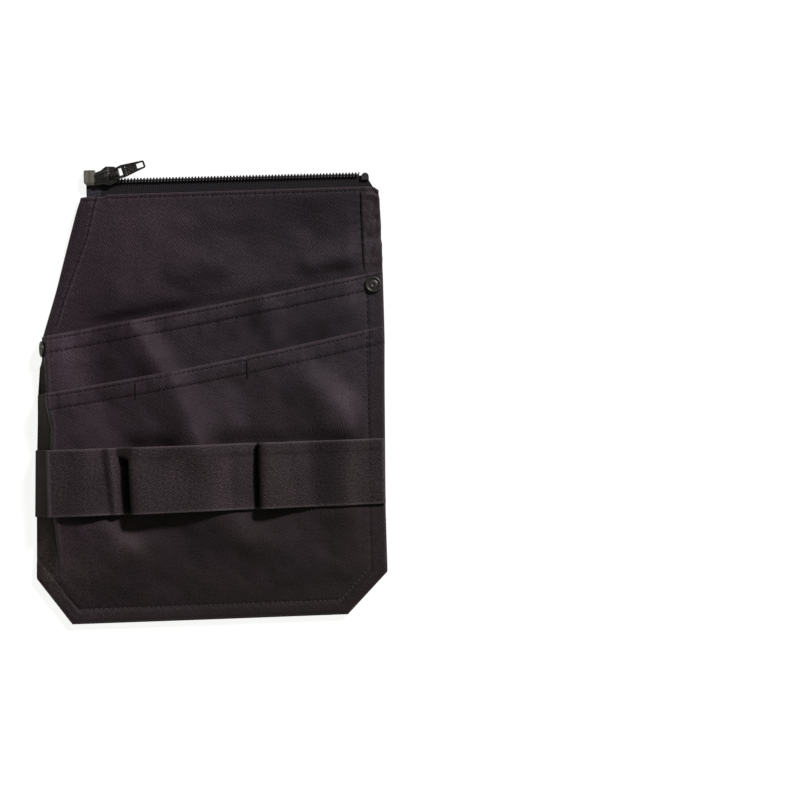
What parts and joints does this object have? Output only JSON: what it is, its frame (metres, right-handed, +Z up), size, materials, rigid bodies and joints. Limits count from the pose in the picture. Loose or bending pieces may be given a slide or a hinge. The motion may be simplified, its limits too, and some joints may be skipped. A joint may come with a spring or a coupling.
{
  "type": "tool pouch",
  "caption": "Zip-on tool pouch of dark twill, lying flat: slanted pockets one over the other, a strip of tool loops, a half zip with its slider along the top edge, and riveted pocket corners.",
  "frame": {"origin": "under the middle of the pouch's outline, on the surface that it lies on", "axes": "+X to the right along the zip, +Y up the pouch towards the zip, +Z up through the pouch from its back to its front"},
  "size_m": [0.2038, 0.2646, 0.029],
  "materials": {
    "twill": "matt cotton twill, black with a purple-brown cast",
    "twill_strip": "the same twill turned across",
    "zip_tape": "woven tape",
    "zip_coil": "satin nylon",
    "zip_box": "satin olive grey",
    "black_metal": "satin black",
    "antique_metal": "dark antique"
  },
  "bodies": {
    "pouch": {"back_panel": "twill", "upper_pocket": "twill", "lower_pocket": "twill", "tool_loop_strip": "twill_strip", "zip_tape": "zip_tape", "zip_teeth": "zip_coil", "zip_box": "zip_box", "zip_top_stop": "zip_coil", "rivet_right": "antique_metal", "rivet_left": "antique_metal"},
    "slider": {"zip_slider": "black_metal"},
    "pull": {"zip_pull": "black_metal"}
  },
  "joints": [
    {"name": "slider_slide", "type": "slide", "parent": "pouch", "child": "slider", "axis": [1, 0, 0], "range_m": [0, 0.137]},
    {"name": "pull_hinge", "type": "hinge", "parent": "slider", "child": "pull", "pos_m": [-0.05016, 0.12489, 0.007], "axis": [0.3007, -0.9537, 0], "range_deg": [0, 160]}
  ]
}
